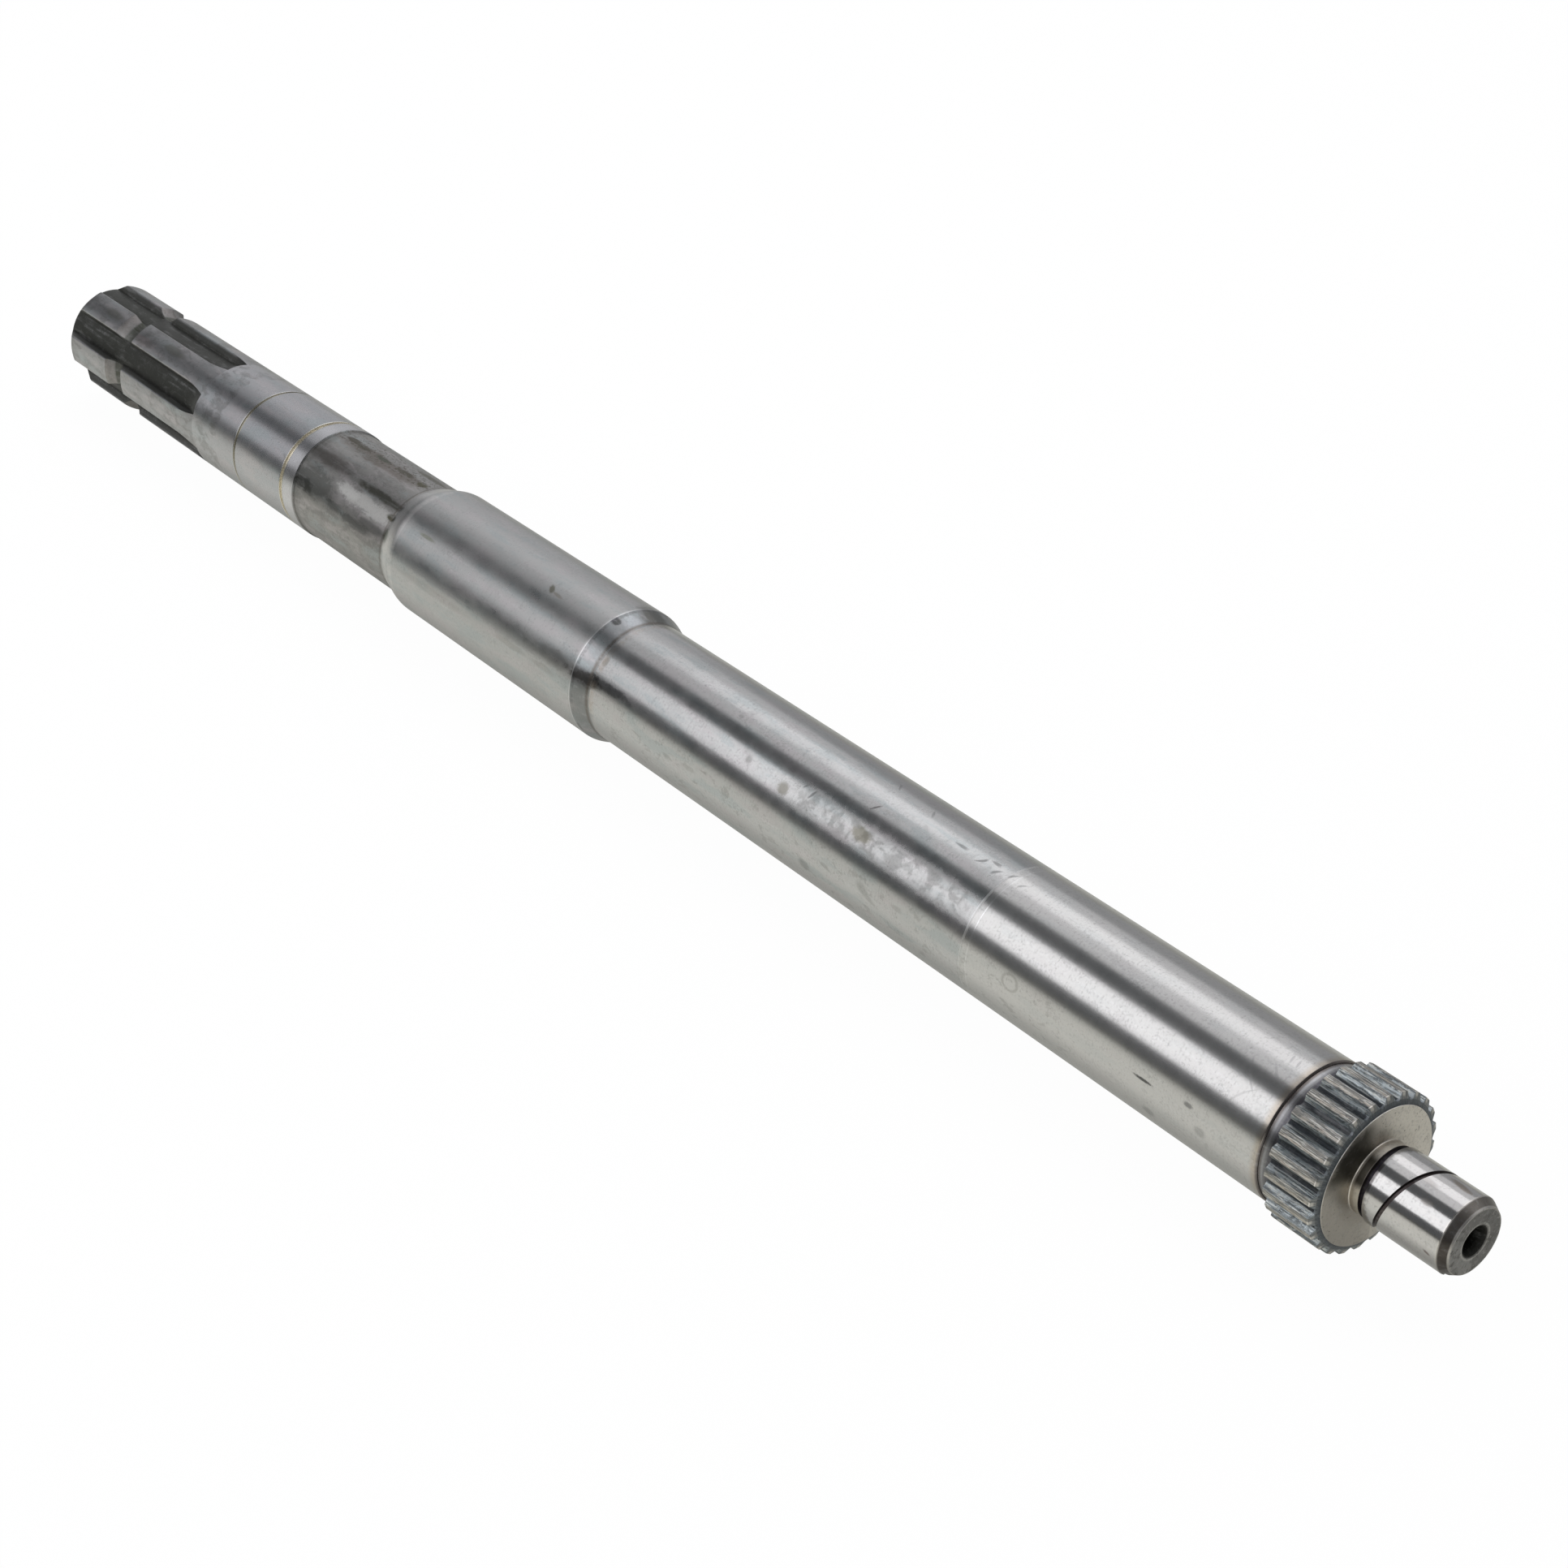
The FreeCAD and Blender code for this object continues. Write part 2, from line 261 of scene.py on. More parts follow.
def copiesRound(cutter, count, firstTurn):
    # each copy has its own mesh; they end up as one object
    copies = []
    for index in range(count):
        pickObject(cutter)
        bpy.ops.object.duplicate(linked=False)
        copy = bpy.context.object
        copy.rotation_euler = (math.radians(firstTurn + index * 360.0 / count), 0, 0)
        bpy.ops.object.transform_apply(location=False, rotation=True, scale=False)
        copies.append(copy)
    bpy.data.objects.remove(cutter)
    deselectAll()
    for copy in copies:
        copy.select_set(True)
    bpy.context.view_layer.objects.active = copies[0]
    bpy.ops.object.join()
    return bpy.context.object


def cutAway(shaft, cutter):
    pickObject(shaft)
    cut = shaft.modifiers.new("cut", "BOOLEAN")
    cut.operation = "DIFFERENCE"
    cut.solver = "EXACT"
    cut.object = cutter
    bpy.ops.object.modifier_apply(modifier=cut.name)
    bpy.data.objects.remove(cutter)


splineEnd = {
    "count": 6,
    "width": 8.64,
    "rootRadius": 14.8,
    "outerRadius": 17.45,
    "fullLength": 77.0,
    "cutterRadius": 24.0,
    "edge": 0.22,       # worn edges of the splines
    "lead": 2.0,        # the cutter starts this far before the end face
    "above": 1.5,       # and stands this far above the splines
    "floorColumns": 12,
    "runOutSteps": 14,
    "runOutSpare": 1.25,
    "turn": -1.0,
}


def splineGapCutter():
    size = splineEnd
    half = size["width"] / 2
    pitch = math.pi / size["count"]
    root, edge, above = size["rootRadius"], size["edge"], size["above"]

    def wall(radius, inset=0.0):
        turn = pitch - math.asin((half - inset) / radius)
        return radius * math.sin(turn), radius * math.cos(turn)

    rows = [wall(root), wall(size["outerRadius"] - edge), wall(size["outerRadius"] + above, edge + above)]
    cutter = sectionSheet("splineGap", -size["lead"], size["floorColumns"], rows,
                          lambda y: math.sqrt(root * root - y * y))
    length = size["fullLength"] + size["lead"]
    bpy.ops.mesh.extrude_region_move(TRANSFORM_OT_translate={"value": (length / perMetre, 0, 0)})
    depth = size["outerRadius"] - root
    lift = math.acos(1 - depth / size["cutterRadius"]) * size["runOutSpare"]
    centre = place(size["fullLength"], root + size["cutterRadius"])
    bpy.ops.mesh.spin(steps=size["runOutSteps"], angle=lift, center=centre, axis=(0, 1, 0))
    closeUp()
    return cutter


toothEnd = {
    "count": 24,
    "tipRadius": 18.9,
    "rootRadius": 17.25,
    "sideFoot": 17.5,
    "tipWidth": 1.75,
    "spaceWidth": 1.35,
    "edge": 0.13,       # worn edges of the teeth
    "edgeSlope": 1.15,
    "above": 1.2,       # the cutter stands this far above the teeth
    "floorColumns": 6,
    "turn": 9.3,
    "start": 540.2,
    "end": 558.0,
}


def toothSpaceCutter():
    size = toothEnd
    tip, side, edge = size["tipRadius"], size["sideFoot"], size["edge"]
    mouth = (2 * math.pi * tip / size["count"] - size["tipWidth"]) / 2
    foot = size["spaceWidth"] / 2
    shoulder = mouth - (mouth - foot) / (tip - side) * edge
    top = shoulder + (edge + size["above"]) * size["edgeSlope"]
    rows = [(foot, side), (shoulder, tip - edge), (top, tip + size["above"])]
    sag = side - size["rootRadius"]
    cutter = sectionSheet("toothSpace", size["start"], size["floorColumns"], rows,
                          lambda y: side - sag * (1 - (y / foot) ** 2))
    length = size["end"] - size["start"]
    bpy.ops.mesh.extrude_region_move(TRANSFORM_OT_translate={"value": (length / perMetre, 0, 0)})
    closeUp()
    return cutter


oilGroove = {
    "pitch": 18.0,
    "width": 1.15,
    "floorWidth": 0.7,
    "depth": 0.5,
    "radius": 8.98,
    "start": 558.75,
    "end": 582.4,
    "turn": 178.0,      # at station 559.4
    "turnStation": 559.4,
    "stepsPerTurn": 96,
}


def oilGrooveCutter():
    size = oilGroove
    floor = (size["radius"] - size["depth"]) / perMetre
    top = (size["radius"] + size["depth"]) / perMetre
    halfFloor = size["floorWidth"] / 2
    halfTop = size["width"] - halfFloor
    # a sheet becomes the section: its lower edge lies at the floor, its upper edge above the journal
    deselectAll()
    bpy.ops.mesh.primitive_plane_add(size=sheetSide, location=(0, 0, 0), rotation=(math.pi / 2, 0, 0))
    cutter = editNew("oilGrooveCut")
    pickPoints(cutter, lambda co: co.z < 0)
    bpy.ops.transform.resize(value=(halfFloor, 1, 1), center_override=(0, 0, 0))
    bpy.ops.transform.translate(value=(0, 0, floor + sheetSide / 2))
    pickPoints(cutter, lambda co: abs(co.z - sheetSide / 2) < nearby)
    bpy.ops.transform.resize(value=(halfTop, 1, 1), center_override=(0, 0, 0))
    bpy.ops.transform.translate(value=(0, 0, top - sheetSide / 2))
    bpy.ops.mesh.select_all(action="SELECT")
    bpy.ops.mesh.delete(type="ONLY_FACE")
    bpy.ops.object.mode_set(mode="OBJECT")
    turns = (size["end"] - size["start"]) / size["pitch"]
    wind = cutter.modifiers.new("wind", "SCREW")
    wind.axis = "X"
    wind.angle = -turns * 2 * math.pi
    wind.screw_offset = turns * size["pitch"] / perMetre
    wind.iterations = 1
    wind.steps = wind.render_steps = int(turns * size["stepsPerTurn"])
    wind.use_merge_vertices = False
    wind.use_smooth_shade = False
    bpy.ops.object.modifier_apply(modifier=wind.name)
    firstTurn = size["turn"] - 360 * (size["start"] - size["turnStation"]) / size["pitch"]
    cutter.rotation_euler = (math.radians(firstTurn), 0, 0)
    cutter.location = place(size["start"])
    bpy.ops.object.transform_apply(location=True, rotation=True, scale=False)
    bpy.ops.object.mode_set(mode="EDIT")
    bpy.ops.mesh.select_all(action="SELECT")
    bpy.ops.mesh.fill_holes(sides=0)
    closeUp()
    return cutter


def machineShaft():
    shaft = turnBlank()
    cutAway(shaft, copiesRound(splineGapCutter(), splineEnd["count"], splineEnd["turn"]))
    print("splines cut,", len(shaft.data.polygons), "faces")
    half = 180.0 / toothEnd["count"]
    cutAway(shaft, copiesRound(toothSpaceCutter(), toothEnd["count"], toothEnd["turn"] + half))
    print("teeth cut,", len(shaft.data.polygons), "faces")
    cutAway(shaft, oilGrooveCutter())
    print("oil groove cut,", len(shaft.data.polygons), "faces")
    pickObject(shaft)
    bpy.ops.object.mode_set(mode="EDIT")
    closeUp()
    bpy.ops.object.shade_smooth_by_angle(angle=math.radians(20))
    return shaft


shaft = machineShaft()
shaft.data.calc_loop_triangles()
print("shaft shaped,", len(shaft.data.loop_triangles), "triangles")


class Wire:
    # one output socket; arithmetic on it adds Math nodes
    def __init__(self, recipe, socket):
        self.recipe = recipe
        self.socket = socket

    def calc(self, operation, *values):
        return self.recipe.node("ShaderNodeMath", {"operation": operation}, dict(enumerate(values)))

    def __add__(self, other):
        return self.calc("ADD", self, other)

    def __radd__(self, other):
        return self.calc("ADD", other, self)

    def __sub__(self, other):
        return self.calc("SUBTRACT", self, other)

    def __rsub__(self, other):
        return self.calc("SUBTRACT", other, self)

    def __mul__(self, other):
        return self.calc("MULTIPLY", self, other)

    def __rmul__(self, other):
        return self.calc("MULTIPLY", other, self)

    def __truediv__(self, other):
        return self.calc("DIVIDE", self, other)

    def __neg__(self):
        return self.calc("MULTIPLY", self, -1.0)

    def top(self, other):
        return self.calc("MAXIMUM", self, other)

    def low(self, other):
        return self.calc("MINIMUM", self, other)

    def size(self):
        return self.calc("ABSOLUTE", self)

    def past(self, other):
        return self.calc("GREATER_THAN", self, other)

    def fraction(self):
        return self.calc("FRACT", self)

    def root(self):
        return self.calc("SQRT", self)


class Recipe:
    # the node tree of a material or the world, filled by one method
    def __init__(self, owner):
        self.owner = owner
        owner.use_nodes = True
        self.tree = owner.node_tree
        self.tree.nodes.clear()

    def node(self, kind, settings=None, inputs=None, output=0):
        made = self.tree.nodes.new(kind)
        for key, value in (settings or {}).items():
            setattr(made, key, value)
        for key, value in (inputs or {}).items():
            if isinstance(value, Wire):
                self.tree.links.new(value.socket, made.inputs[key])
            else:
                made.inputs[key].default_value = value
        self.last = made
        return Wire(self, made.outputs[output]) if len(made.outputs) else None

    def step(self, value, low, high, fromValue=0.0, toValue=1.0):
        # a smooth step stays within its range by itself
        return self.node("ShaderNodeMapRange", {"interpolation_type": "SMOOTHSTEP", "clamp": False}, {
            "Value": value, "From Min": low, "From Max": high, "To Min": fromValue, "To Max": toValue})

    def between(self, value, start, end, soft):
        return self.step(value, start - soft, start + soft) - self.step(value, end - soft, end + soft)

    def mix(self, factor, first, second):
        # the colour sockets of a Mix node are its inputs 6 and 7 and its output 2
        self.node("ShaderNodeMix", {"data_type": "RGBA"}, {"Factor": factor})
        made = self.last
        for socket, value in ((made.inputs[6], first), (made.inputs[7], second)):
            if isinstance(value, Wire):
                self.tree.links.new(value.socket, socket)
            else:
                socket.default_value = (*value, 1)
        return Wire(self, made.outputs[2])

    def noise(self, vector, scale, detail=2.0, rough=0.5, distortion=0.0):
        return self.node("ShaderNodeTexNoise", {"noise_dimensions": "3D"}, {
            "Vector": vector, "Scale": scale, "Detail": detail, "Roughness": rough, "Distortion": distortion})


# finish along the shaft: from station, colour, roughness
finish = [
    (-5.0, (0.255, 0.255, 0.258), 0.34),    # splines
    (88.0, (0.32, 0.32, 0.328), 0.29),      # past the splines
    (113.0, (0.325, 0.328, 0.338), 0.27),   # seal seat
    (149.6, (0.235, 0.23, 0.22), 0.40),     # neck, dull
    (198.6, (0.42, 0.415, 0.405), 0.36),    # front shoulder
    (207.5, (0.345, 0.345, 0.34), 0.31),    # bearing seat
    (295.75, (0.25, 0.258, 0.262), 0.30),   # rear shoulder
    (302.0, (0.375, 0.375, 0.37), 0.22),    # body, older finish
    (447.0, (0.425, 0.42, 0.41), 0.21),     # body, brighter stretch
    (538.3, (0.18, 0.178, 0.183), 0.28),    # run-out groove
    (541.7, (0.27, 0.30, 0.32), 0.36),      # teeth
    (555.45, (0.60, 0.57, 0.52), 0.46),     # face
    # relief ring: steel colour lifted by a painted highlight
    (555.75, (0.74, 0.70, 0.62), 0.40),     # relief ring
    # undercut painted near black as shade
    (558.05, (0.05, 0.042, 0.055), 0.40),   # undercut
    (559.38, (0.45, 0.44, 0.43), 0.14),     # journal
    (578.6, (0.085, 0.075, 0.066), 0.36),   # end bevel
    (580.84, (0.175, 0.172, 0.168), 0.46),  # end face
]

# station, turn, half length, half turn, lean, curve, depth of the mark, colour
marks = [
    (271.0, 20, 1.4, 4.6, 0.7, 0.0, 0.75, (0.10, 0.095, 0.06)),
    (274.5, 22, 2.6, 2.0, 0.3, 0.0, 0.45, (0.16, 0.14, 0.10)),
    (218.5, 42, 4.6, 2.2, 0.0, 0.0, 0.55, (0.16, 0.17, 0.11)),
    (296.0, 12, 0.7, 5.0, 0.0, 0.0, 0.80, (0.08, 0.08, 0.09)),
    (378.5, 51, 2.4, 7.0, 0.0, 0.0, 0.75, (0.22, 0.21, 0.18)),
    (364.0, 47, 1.4, 4.0, 0.0, 0.0, 0.45, (0.18, 0.18, 0.17)),
    (387.5, 42, 0.5, 6.0, -1.6, 0.0, 0.70, (0.15, 0.15, 0.15)),
    (407.0, 47, 4.2, 7.5, 0.0, 0.0, 0.80, (0.22, 0.21, 0.17)),
    (405.0, 22, 0.45, 5.0, -2.6, 0.0, 0.75, (0.10, 0.09, 0.09)),
    (391.0, 101, 2.6, 6.0, 0.0, 0.0, 0.55, (0.17, 0.17, 0.165)),
    (413.5, 87, 2.6, 9.0, 1.4, 1.0, 0.40, (0.18, 0.18, 0.17)),
    (403.0, -9, 0.5, 5.0, 2.2, 0.0, 0.55, (0.14, 0.14, 0.14)),
    (417.0, -3, 0.5, 5.0, 2.0, 0.0, 0.55, (0.14, 0.14, 0.14)),
    (431.0, 9, 2.6, 2.0, 0.0, 0.6, 0.65, (0.14, 0.14, 0.14)),
    (438.5, 10, 0.7, 5.0, -1.8, -1.2, 0.70, (0.13, 0.13, 0.13)),
    (441.5, 5, 1.8, 2.2, 0.0, 0.8, 0.65, (0.14, 0.14, 0.14)),
    (443.5, 12, 0.7, 4.5, -1.4, 0.8, 0.65, (0.14, 0.14, 0.14)),
    (447.5, 7, 0.6, 5.0, -1.6, 0.8, 0.60, (0.15, 0.15, 0.15)),
    (451.5, 10, 0.6, 4.0, -1.6, 0.8, 0.45, (0.16, 0.16, 0.16)),
    (384.5, 38, 0.5, 4.0, -1.6, 0.0, 0.60, (0.14, 0.14, 0.14)),
    (399.0, 88, 2.2, 3.0, 0.6, 0.8, 0.40, (0.18, 0.18, 0.17)),
    (425.0, 82, 2.4, 3.0, 0.0, 0.6, 0.30, (0.19, 0.19, 0.18)),
    (345.0, 84, 3.4, 3.0, 0.0, 0.0, 0.25, (0.20, 0.195, 0.18)),
    (352.5, 20, 1.2, 2.5, 0.0, 0.0, 0.30, (0.20, 0.20, 0.19)),
    (505.4, 83, 3.4, 1.6, 0.0, 0.0, 0.90, (0.05, 0.05, 0.05)),
    (518.5, 79, 1.6, 2.6, 0.0, 0.0, 0.65, (0.10, 0.10, 0.10)),
    (507.0, 110, 2.2, 5.0, 0.0, 0.0, 0.45, (0.14, 0.14, 0.14)),
    (522.5, 94, 2.0, 5.0, 0.0, 0.0, 0.40, (0.15, 0.15, 0.15)),
    (528.0, 34, 0.5, 15.0, 7.0, 2.5, 0.26, (0.20, 0.20, 0.20)),
    (533.0, 26, 0.5, 12.0, 5.0, -2.5, 0.24, (0.20, 0.20, 0.20)),
    (529.0, 50, 0.45, 11.0, -6.0, 2.0, 0.24, (0.22, 0.22, 0.21)),
    (532.5, 8, 0.4, 5.0, 1.0, 0.0, 0.35, (0.20, 0.20, 0.20)),
    (534.5, 9, 0.4, 5.0, 1.0, 0.0, 0.35, (0.20, 0.20, 0.20)),
    (572.2, 37, 1.9, 6.5, 0.0, 0.0, 0.60, (0.24, 0.22, 0.20)),
    (574.5, -12, 3.2, 8.0, 0.6, 0.0, 0.65, (0.19, 0.15, 0.11)),
    (569.5, 12, 2.8, 6.0, 0.5, 0.0, 0.35, (0.24, 0.22, 0.20)),
    (576.3, 97, 0.9, 3.4, 0.8, 0.0, 0.75, (0.12, 0.09, 0.08)),
]

# dull or stained places: station, turn, half length, half turn, strength, colour
stains = [
    (150.5, 40, 2.6, 200, 0.35, (0.10, 0.10, 0.09)),
    (158.0, 57, 16.0, 17, 0.85, (0.085, 0.086, 0.08)),
    (153.5, 65, 5.5, 7, 0.80, (0.035, 0.036, 0.032)),
    (171.5, 68, 5.0, 6, 0.60, (0.06, 0.062, 0.058)),
    (184.0, 71, 8.0, 6, 0.65, (0.07, 0.072, 0.07)),
    (192.0, 64, 8.0, 5, 0.60, (0.09, 0.092, 0.085)),
    (160.0, 30, 12.0, 8, 0.70, (0.09, 0.082, 0.072)),
    (189.5, 33, 13.0, 5, 0.85, (0.055, 0.055, 0.042)),
    (186.0, 48, 17.0, 9, 0.85, (0.37, 0.365, 0.35)),
    (175.0, 46, 7.0, 6, 0.60, (0.42, 0.415, 0.40)),
    (198.4, 45, 2.4, 4, 0.90, (0.045, 0.042, 0.022)),
    (200.0, 62, 1.8, 9, 0.80, (0.055, 0.07, 0.048)),
    (175.0, 0, 24.0, 10, 0.72, (0.085, 0.07, 0.056)),
    (191.5, -22, 7.0, 5, 0.80, (0.065, 0.062, 0.035)),
    (156.5, -4, 4.2, 4, 0.90, (0.045, 0.038, 0.025)),
    (162.5, -3, 4.2, 4, 0.90, (0.045, 0.04, 0.025)),
    (173.5, -4, 4.2, 4, 0.90, (0.045, 0.052, 0.035)),
    (184.5, -4, 4.6, 4, 0.90, (0.05, 0.045, 0.028)),
    (194.8, -3, 2.6, 5, 0.90, (0.05, 0.046, 0.02)),
    (161.0, 15, 9.0, 4, 0.50, (0.30, 0.295, 0.285)),
    (21.0, 28, 6.0, 6, 0.50, (0.13, 0.13, 0.105)),
    (61.5, 26, 6.5, 6, 0.55, (0.13, 0.125, 0.10)),
    (45.0, 35, 7.0, 6, 0.40, (0.25, 0.20, 0.19)),
    (228.0, 69, 26.0, 6, 0.40, (0.17, 0.185, 0.20)),
    (262.0, 69, 22.0, 7, 0.34, (0.16, 0.17, 0.175)),
    (285.0, 66, 14.0, 7, 0.38, (0.14, 0.14, 0.13)),
    (228.0, 80, 20.0, 4, 0.30, (0.22, 0.205, 0.195)),
    (267.0, 79, 8.0, 3, 0.30, (0.20, 0.19, 0.175)),
    (283.0, 79, 6.0, 3, 0.30, (0.20, 0.185, 0.175)),
    (300.0, 67, 7.0, 7, 0.85, (0.06, 0.055, 0.05)),
    (309.0, 64, 10.0, 5, 0.60, (0.06, 0.06, 0.06)),
    (299.0, -22, 6.0, 13, 0.75, (0.10, 0.10, 0.085)),
    (297.0, 12, 1.2, 4, 0.85, (0.05, 0.052, 0.05)),
    (299.0, 2, 3.0, 8, 0.40, (0.36, 0.37, 0.39)),
    (299.0, 92, 4.0, 26, 0.45, (0.12, 0.12, 0.11)),
    (303.4, 46, 1.2, 6, 0.55, (0.14, 0.13, 0.11)),
]


# plain rings of colour: from, to, softness, strength, colour
ringTints = [
    (144.0, 149.4, 0.2, 0.75, (0.46, 0.455, 0.465)),    # collar by the neck
    (198.0, 199.3, 0.4, 0.50, (0.09, 0.08, 0.065)),     # dirt in front of the shoulder
    (200.4, 203.5, 0.8, 0.35, (0.62, 0.61, 0.59)),      # bright bead of the front shoulder
    (295.45, 295.8, 0.1, 0.45, (0.60, 0.60, 0.60)),     # edge of the rear shoulder
    (300.6, 301.5, 0.4, 0.70, (0.115, 0.10, 0.085)),    # foot of the rear shoulder
    (536.9, 538.8, 1.0, 0.50, (0.30, 0.235, 0.155)),    # heat tint by the end of the body
    (538.0, 538.95, 0.25, 0.55, (0.10, 0.082, 0.085)),
    (540.4, 541.9, 0.4, 0.85, (0.05, 0.048, 0.058)),    # dark side of the run-out groove
    (539.2, 539.8, 0.2, 0.60, (0.40, 0.40, 0.41)),      # light line in it
]


class Coat:
    # the steel's colour and roughness as they build up, with the measures that place each mark
    def __init__(self, steel):
        self.steel = steel
        noise = steel.noise
        spot = steel.node("ShaderNodeTexCoord", output=3)
        steel.node("ShaderNodeSeparateXYZ", inputs={0: spot})
        x, y, z = [Wire(steel, socket) * perMetre for socket in steel.last.outputs]
        station = x + halfLength
        radius = (y * y + z * z).root()
        turn = steel.node("ShaderNodeMath", {"operation": "ARCTAN2"}, {0: -y, 1: z}) * math.degrees(1)

        def combine(a, b, c):
            return steel.node("ShaderNodeCombineXYZ", inputs={0: a, 1: b, 2: c})

        body = combine(x, y, z)
        # the grain is about half a millimetre wide, a cloud a centimetre, a patch three millimetres
        self.grain = noise(body, 1.6, 3.0, 0.6) - 0.5
        self.cloud = noise(body, 0.11, 4.0, 0.55) - 0.5
        self.wave = noise(body, 0.085, 1.0) - 0.5
        self.rings = noise(combine(station * 2.2, y * 0.05, z * 0.05), 1.0, 3.0, 0.6) - 0.5
        self.wideRings = noise(combine(station * 0.45, y * 0.03, z * 0.03), 1.0, 2.0) - 0.5
        self.streaks = noise(combine(station * 0.05, y * 0.9, z * 0.9), 1.0, 3.0) - 0.5
        self.smear = noise(combine(station * 0.28, turn * 0.075, 3.0), 1.0, 4.0, 0.6, 0.8) - 0.5
        self.patch = noise(combine(station * 0.22, y * 0.4, z * 0.4), 1.0, 4.0, 0.6, 0.6) - 0.5
        self.hue = noise(combine(station * 0.06, y * 0.25, z * 0.25), 1.0, 3.0, 0.6) - 0.5
        self.neckPits = noise(combine(station * 0.9, turn * 0.35, 1.0), 1.0, 3.0, 0.65)
        self.toothLines = noise(combine(station * 0.10, turn * 0.75, 0.0), 1.0, 3.0, 0.65) - 0.5
        self.toothFine = noise(combine(station * 0.22, turn * 1.5, 9.0), 1.0, 2.0, 0.6) - 0.5
        self.toothCuts = noise(combine(station * 0.8, turn * 0.5, 5.0), 1.0, 4.0, 0.7) - 0.5
        self.facePits = noise(body, 1.1, 2.0)
        self.endPits = noise(body, 0.9, 2.0)
        self.endSpecks = noise(body, 1.3, 2.0)
        self.ragged = self.grain * 0.3 + self.cloud * 0.5 + self.patch * 0.8
        # every noise stands before this node and every mask after it, which keeps the shader small enough
        steel.node("ShaderNodeSeparateColor", inputs={0: combine(station, radius, turn)})
        self.station, self.radius, self.turn = [Wire(steel, socket) for socket in steel.last.outputs]
        self.colour, self.rough = finish[0][1:]

    def paint(self, mask, tint):
        self.colour = self.steel.mix(mask, self.colour, tint)

    def roughen(self, amount):
        self.rough = self.rough + amount

    def above(self, value, low, high, strength=1.0):
        return self.steel.step(value, low, high, 0.0, strength)

    def below(self, value, low, high, strength=1.0):
        return self.steel.step(value, low, high, strength, 0.0)

    def under(self, limit, soft=0.1):
        return self.below(self.radius, limit - soft, limit + soft)

    def stretch(self, start, end, soft=0.1):
        return self.steel.between(self.station, start, end, soft)

    def arc(self, start, end, soft=4.0):
        return self.steel.between(self.turn, start, end, soft)

    def offset(self, place0, turn0, halfSpan, halfTurn):
        return (self.station - place0) / halfSpan, (self.turn - turn0) / halfTurn


def away(along, across):
    return (along * along + across * across).root()


def paintFinish(coat):
    for before, (start, tint, dull) in zip(finish, finish[1:]):
        past = coat.station.past(start)
        coat.paint(past, tint)
        coat.roughen(past * (dull - before[2]))


def paintWear(coat):
    stretch, arc, smear, patch = coat.stretch, coat.arc, coat.smear, coat.patch
    # worn patches along the middle of the body
    patchy = stretch(384, 447, 4) * arc(36, 60, 4)
    roughPatch = coat.above(smear + patch * 0.5, -0.06, 0.12)
    coat.roughen(patchy * (roughPatch * 0.12 + 0.08))
    coat.paint(patchy * roughPatch * 0.26, (0.20, 0.197, 0.185))
    coat.older = stretch(199, 447, 2)
    coat.roughen(coat.older * (coat.cloud * 0.14 + smear * 0.06 + patch * 0.04))
    # faint cool and warm clouds in the older finish
    tinted = stretch(-5, 447, 2) * 0.30 + 0.12
    coat.paint(coat.above(coat.hue, 0.0, 0.15) * tinted, (0.27, 0.31, 0.315))
    coat.paint(coat.above(-coat.hue, 0.0, 0.15) * tinted, (0.385, 0.355, 0.36))
    coat.roughen(stretch(395, 446, 5) * arc(-4, 22, 4) * coat.above(smear, 0.0, 0.14) * 0.10)
    lowMarks = stretch(300, 480, 8) * arc(74, 118, 5)
    coat.paint(lowMarks * coat.above(patch + smear * 0.6, 0.07, 0.17) * 0.30, (0.19, 0.187, 0.172))
    # the ring-shaped mark low on the body
    circle = away(*coat.offset(463.5, 79, 2.6, 7.0)) + coat.grain * 0.3
    coat.paint(coat.steel.between(circle, 0.75, 1.05, 0.12) * 0.40, (0.20, 0.197, 0.18))


def paintNeck(coat):
    stretch, grain = coat.stretch, coat.grain
    coat.paint(stretch(150.0, 199.4, 0.3) * coat.above(coat.patch + grain * 0.2, -0.06, 0.16) * 0.45,
               (0.13, 0.125, 0.12))
    for place0, turn0, halfSpan, halfTurn, strength, tint in stains:
        reach = away(*coat.offset(place0, turn0, halfSpan, halfTurn)) + coat.ragged * 1.6
        coat.paint(coat.below(reach, 0.55, 1.15, strength), tint)
    pitting = stretch(150, 199, 2) * coat.arc(-26, 4, 3) * coat.above(coat.neckPits, 0.52, 0.62)
    coat.paint(pitting * 0.75, (0.045, 0.035, 0.022))


def paintMarks(coat):
    # small marks and scratches, leaning or bent
    for place0, turn0, halfSpan, halfTurn, lean, curve, strength, tint in marks:
        along, across = coat.offset(place0, turn0, halfSpan, halfTurn)
        if lean or curve:
            along = along - across * lean - across * across * curve
        mask = coat.below(away(along, across) + coat.grain * 0.9, 0.45, 1.05, strength)
        coat.paint(mask, tint)
        coat.roughen(mask * 0.15)


